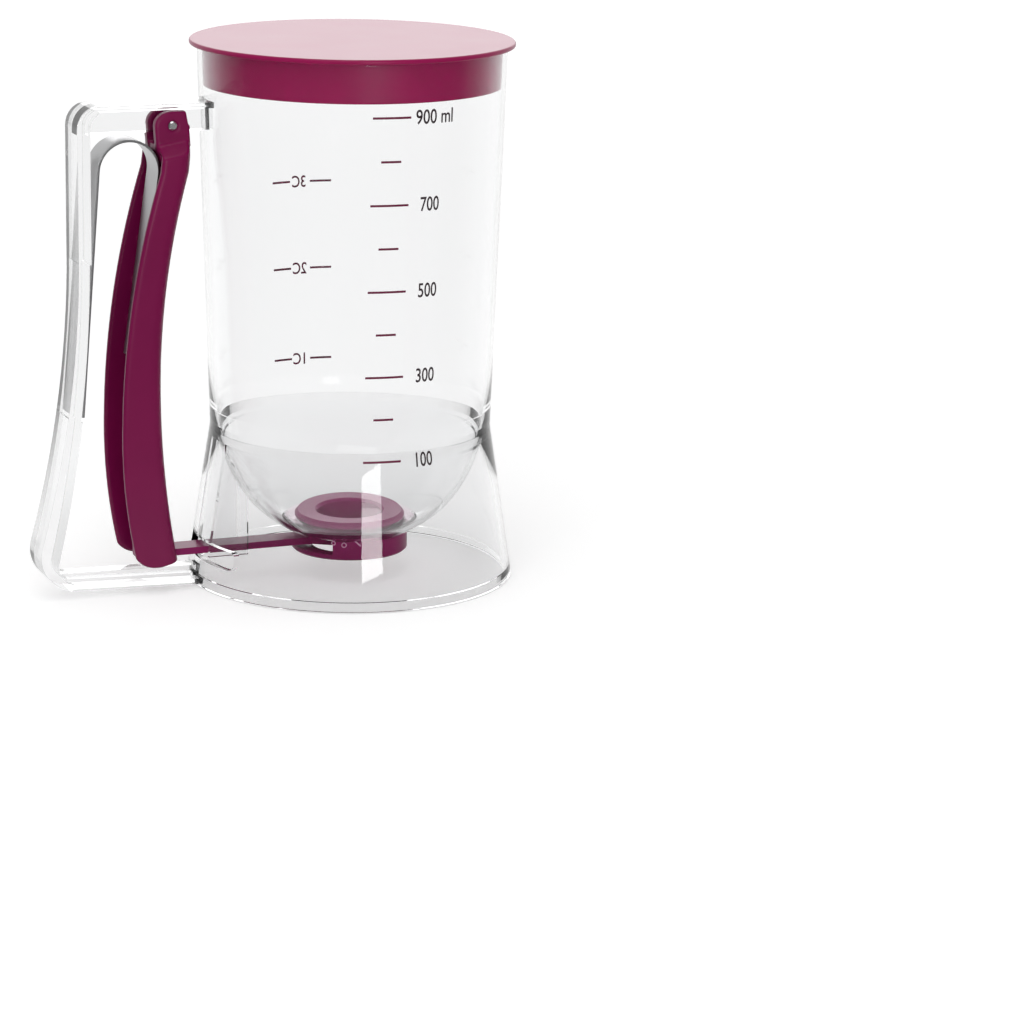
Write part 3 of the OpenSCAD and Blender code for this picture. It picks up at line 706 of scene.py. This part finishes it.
magenta_ink = print_ink("magenta_ink", (0.13, 0.002, 0.034, 1), (0.17, 0.004, 0.045, 1))
dark_ink = print_ink("dark_ink", (0.018, 0.008, 0.012, 1), (0.04, 0.016, 0.024, 1))
for k, figure in enumerate(("100", "300", "500", "700", "900")):
    mark_z = low_mark + k * mark_step
    angle = mark_angle + k * mark_lean
    print_line(f"mark_{figure}", angle, mark_z, mark_w, magenta_ink)
    if figure != "900":
        print_line(f"half_mark_{figure}", angle + half_mark_shift, mark_z + mark_step / 2,
                   half_mark_w, magenta_ink)
        print_text(f"figure_{figure}", figure, figure_angle, mark_z, figure_h, figure_narrow,
                   dark_ink)
    else:
        print_text("figure_900_ml", "900 ml", -78.4, mark_z, figure_h, 0.78, dark_ink)

for cups, cup_z in ((1, 64.0), (2, 95.1), (3, 125.1)):
    print_line(f"cup_line_left_{cups}", 99.8, cup_z, 6.9, magenta_ink)
    print_line(f"cup_line_right_{cups}", 82.8, cup_z, 7.6, magenta_ink)
    print_text(f"cup_figure_{cups}", f"{cups}C", cup_angle, cup_z, cup_figure_h, cup_narrow,
               magenta_ink)


# --------------------------------------------------------------------- studio
# A white table in a white room that is dim in front.  Wide soft panels light it
# from behind, above and the front left, and a narrow one makes the gleam on the
# jug.  What clear walls mirror is dark in front, so no veil lies on the magenta.
def lamp_panel(name, place, aim, size, radiance):
    """A soft panel of even light: its power follows from its brightness and its size."""
    data = bpy.data.lights.new(name, "AREA")
    data.shape = "RECTANGLE"
    data.size, data.size_y = size
    data.energy = radiance * math.pi * size[0] * size[1]
    lamp = bpy.data.objects.new(name, data)
    bpy.context.scene.collection.objects.link(lamp)
    lamp.location = place
    lamp.rotation_euler = (Vector(aim) - Vector(place)).to_track_quat("-Z", "Y").to_euler()
    return lamp


def work_out(tree, kind, operation, *values):
    """Adds a Math or VectorMath node and works out its values."""
    node = tree.nodes.new("ShaderNode" + kind)
    node.operation = operation
    fill(tree, node, dict(enumerate(values)))
    return node


def mix_values(tree, factor, without, whole):
    """Goes from one value to another as the factor goes from 0 to 1."""
    node = tree.nodes.new("ShaderNodeMix")
    node.data_type = "FLOAT"
    fill(tree, node, {"Factor": factor, 2: without, 3: whole})
    return node.outputs[0]


def frontness(tree, direction):
    """1 for a level direction to the front, and -1 for one to the back."""
    return work_out(tree, "VectorMath", "DOT_PRODUCT", direction,
                    (-0.34, -0.94, 0.0)).outputs["Value"]


def mirrored_ray(tree, ray):
    """1 for a ray that has been mirrored on its way, and otherwise 0."""
    return work_out(tree, "Math", "GREATER_THAN", ray.outputs["Glossy Depth"], 0.5).outputs[0]


lamp_panel("back_panel", (0.80, 1.92, 0.78), (0, 0, 0.15), (1.5, 0.9), 1.25)
lamp_panel("top_panel", (-0.3, -0.5, 1.6), (0, 0, 0.1), (1.0, 1.0), 1.6)
lamp_panel("front_strip", (-0.10, -1.6, 0.1035), (0, 0, 0.03), (0.42, 0.081), 20.0)
front_fill = lamp_panel("front_fill", (-0.75, -1.25, 0.95), (0, 0, 0.08), (1.1, 1.1), 1.6)
front_fill.visible_glossy = False
front_fill.visible_transmission = False

world = bpy.data.worlds.new("studio")
bpy.context.scene.world = world
world.use_nodes = True
# The camera sees it white.  Mirrored in a piece it is dim in front, and so it is for a ray
# that passes on through a clear wall after a mirror.  The ceiling is dim seen through a wall.
room = world.node_tree
ray = add_node(room, "LightPath", {})
direction = add_node(room, "TexCoord", {}).outputs["Generated"]
to_front = frontness(room, direction)
to_top = add_node(room, "SeparateXYZ", {0: direction}).outputs["Z"]
walls = fade(room, to_front, -0.7, 0.35, 1.0, 0.14)
wings = fade(room, to_front, -0.65, 0.15, 1.0, 0.12)
ceiling = fade(room, to_top, 0.42, 0.62, 1.0, 0.18)
backdrop = mix_values(room, mirrored_ray(room, ray), 1.0, wings)
through = work_out(room, "Math", "MULTIPLY", backdrop, ceiling).outputs[0]
whiteness = mix_values(room, ray.outputs["Is Glossy Ray"], 0.55, walls)
whiteness = mix_values(room, ray.outputs["Is Transmission Ray"], whiteness, through)
whiteness = mix_values(room, ray.outputs["Is Camera Ray"], whiteness, 1.0)
fill(room, room.nodes["Background"], {"Color": (1, 1, 1, 1), "Strength": whiteness})

# The table is lit matt white, brightened where it is looked at or mirrored, and it turns dark
# in front, away from the piece, for the rays that were mirrored in a wall
start_piece()
table_gap = 0.3
bpy.ops.mesh.primitive_circle_add(vertices=96, radius=9, fill_type="NGON",
                                  location=(0, 0, -table_gap * MM))
table = bpy.context.object
table.name = "table"
table_white, tree, matt, spot = start_finish("table_white")
fill(tree, matt, {"Base Color": (0.74, 0.74, 0.74, 1), "Roughness": 1.0, "Specular IOR Level": 0.0})
ray = add_node(tree, "LightPath", {})
seen = work_out(tree, "Math", "MAXIMUM", ray.outputs["Is Camera Ray"], ray.outputs["Is Glossy Ray"])
paper = add_node(tree, "Emission", {
    "Color": (1, 1, 1, 1),
    "Strength": work_out(tree, "Math", "MULTIPLY", seen.outputs[0], 0.46).outputs[0]})
bright = add_node(tree, "AddShader", {0: matt.outputs["BSDF"], 1: paper.outputs["Emission"]})
side_of = work_out(tree, "VectorMath", "NORMALIZE", spot).outputs["Vector"]
away = work_out(tree, "VectorMath", "LENGTH", spot).outputs["Value"]
front = fade(tree, frontness(tree, side_of), -0.6, 0.1, 0.0, 0.9)
far = fade(tree, away, 0.09, 0.25, 0, 1)
front_mirrored = work_out(tree, "Math", "MULTIPLY", front, mirrored_ray(tree, ray)).outputs[0]
dark_share = work_out(tree, "Math", "MULTIPLY", front_mirrored, far).outputs[0]
dark_edge = add_node(tree, "BsdfDiffuse", {"Color": (0.03, 0.03, 0.03, 1)})
table_top = add_node(tree, "MixShader", {"Fac": dark_share, 1: bright.outputs["Shader"],
                                         2: dark_edge.outputs["BSDF"]})
fill(tree, tree.nodes["Material Output"], {"Surface": table_top.outputs["Shader"]})
table.data.materials.append(table_white)


# --------------------------------------------------------------------- camera
# A long lens that looks down on the front from a little to the left, so that
# the handle stands clear of the jug.
focal_px, picture_px, film_mm = 3684.34, 1024, 36
turn_right, tilt_down, roll = 22.61, 14.53, 1.05
camera_data = bpy.data.cameras.new("camera")
camera = bpy.data.objects.new("camera", camera_data)
bpy.context.scene.collection.objects.link(camera)
camera_data.sensor_width = film_mm
camera_data.lens = focal_px / picture_px * film_mm
camera_data.clip_start = 0.05
camera.rotation_mode = "QUATERNION"
camera.location = (-0.41293, -1.13449, 0.33350)
aim = (Matrix.Rotation(math.radians(-turn_right), 3, "Z")
       @ Matrix.Rotation(math.radians(90 - tilt_down), 3, "X")
       @ Matrix.Rotation(math.radians(roll), 3, "Z"))
camera.rotation_quaternion = aim.to_quaternion()
bpy.context.scene.camera = camera
bpy.context.scene.view_settings.view_transform = "Standard"
